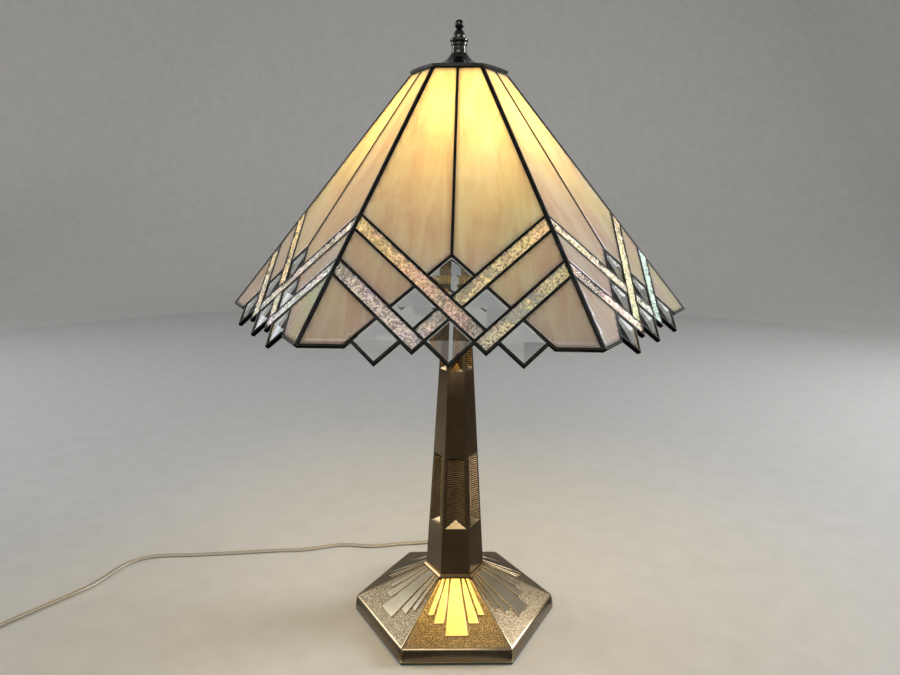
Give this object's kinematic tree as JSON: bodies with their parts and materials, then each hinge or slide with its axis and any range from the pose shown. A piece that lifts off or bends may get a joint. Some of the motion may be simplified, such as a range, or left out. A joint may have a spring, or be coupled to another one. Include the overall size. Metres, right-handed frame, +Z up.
{
  "type": "stained glass table lamp",
  "caption": "Leaded glass table lamp: six-sided shade with woven bands and bevelled diamonds on a tapered brass column and sunburst foot.",
  "frame": {"origin": "centre of the foot's underside, on the table", "axes": "+Z up the column, -Y towards the front face of the foot"},
  "size_m": [0.8172, 0.423, 0.618],
  "materials": {
    "antique_brass": "polished antique brass",
    "fitting_brass": "polished",
    "socket_brass": "satin",
    "plain_brass": "satin",
    "iron": "rough cast",
    "felt": "felt",
    "clear_cord": "clear vinyl over tinned copper",
    "plug_plastic": "moulded",
    "blade_brass": "bright",
    "tie": "matt",
    "black_insulator": "phenolic",
    "knob_plastic": "moulded",
    "bulb_cap": "rolled",
    "bulb_glass": "frosted",
    "gunmetal": "polished gunmetal",
    "patina_lead": "dark patina on solder",
    "opal_glass": "iridescent opalescent sheet",
    "band_glass": "iridescent hammered clear",
    "bevel_glass": "polished bevel"
  },
  "bodies": {
    "stand": {"base_casting": "antique_brass", "base_weight": "iron", "base_felt": "felt", "strain_relief": "clear_cord", "column_foot": "antique_brass", "column": "antique_brass", "column_crown": "antique_brass", "column_neck": "fitting_brass", "husk_cup": "fitting_brass", "centre_pipe": "plain_brass", "pipe_nut": "plain_brass", "lead_wires": "clear_cord", "cluster_body": "fitting_brass", "socket_arms": "fitting_brass", "socket_cap_left": "socket_brass", "socket_shell_left": "socket_brass", "socket_core_left": "black_insulator", "socket_cap_right": "socket_brass", "socket_shell_right": "socket_brass", "socket_core_right": "black_insulator", "riser_rod": "plain_brass", "cord": "clear_cord", "cord_coil": "clear_cord", "cord_tie": "tie", "plug_body": "plug_plastic", "plug_blades": "blade_brass"},
    "shade": {"shade_spider": "plain_brass", "vase_cap": "gunmetal", "shade_seams": "patina_lead", "panel_1_lead": "patina_lead", "panel_1_opal": "opal_glass", "panel_1_bands": "band_glass", "panel_1_bevels": "bevel_glass", "panel_2_lead": "patina_lead", "panel_2_opal": "opal_glass", "panel_2_bands": "band_glass", "panel_2_bevels": "bevel_glass", "panel_3_lead": "patina_lead", "panel_3_opal": "opal_glass", "panel_3_bands": "band_glass", "panel_3_bevels": "bevel_glass", "panel_4_lead": "patina_lead", "panel_4_opal": "opal_glass", "panel_4_bands": "band_glass", "panel_4_bevels": "bevel_glass", "panel_5_lead": "patina_lead", "panel_5_opal": "opal_glass", "panel_5_bands": "band_glass", "panel_5_bevels": "bevel_glass", "panel_6_lead": "patina_lead", "panel_6_opal": "opal_glass", "panel_6_bands": "band_glass", "panel_6_bevels": "bevel_glass"},
    "finial": {"finial": "gunmetal"},
    "knob_left": {"switch_knob_left": "knob_plastic"},
    "bulb_left": {"bulb_cap_left": "bulb_cap", "bulb_glass_left": "bulb_glass"},
    "knob_right": {"switch_knob_right": "knob_plastic"},
    "bulb_right": {"bulb_cap_right": "bulb_cap", "bulb_glass_right": "bulb_glass"}
  },
  "joints": [
    {"name": "shade_turn", "type": "hinge", "parent": "stand", "child": "shade", "pos_m": [0, 0, 0.566], "axis": [0, 0, 1], "continuous": true},
    {"name": "finial_turn", "type": "hinge", "parent": "stand", "child": "finial", "pos_m": [0, 0, 0.59], "axis": [0, 0, 1], "continuous": true},
    {"name": "knob_left_turn", "type": "hinge", "parent": "stand", "child": "knob_left", "pos_m": [-0.03291, 0.019, 0.43], "axis": [-0.866, 0.5, 0], "continuous": true},
    {"name": "bulb_left_turn", "type": "hinge", "parent": "stand", "child": "bulb_left", "pos_m": [-0.03291, 0.019, 0.44], "axis": [0, 0, 1], "continuous": true},
    {"name": "knob_right_turn", "type": "hinge", "parent": "stand", "child": "knob_right", "pos_m": [0.03291, -0.019, 0.43], "axis": [0.866, -0.5, 0], "continuous": true},
    {"name": "bulb_right_turn", "type": "hinge", "parent": "stand", "child": "bulb_right", "pos_m": [0.03291, -0.019, 0.44], "axis": [0, 0, 1], "continuous": true}
  ]
}
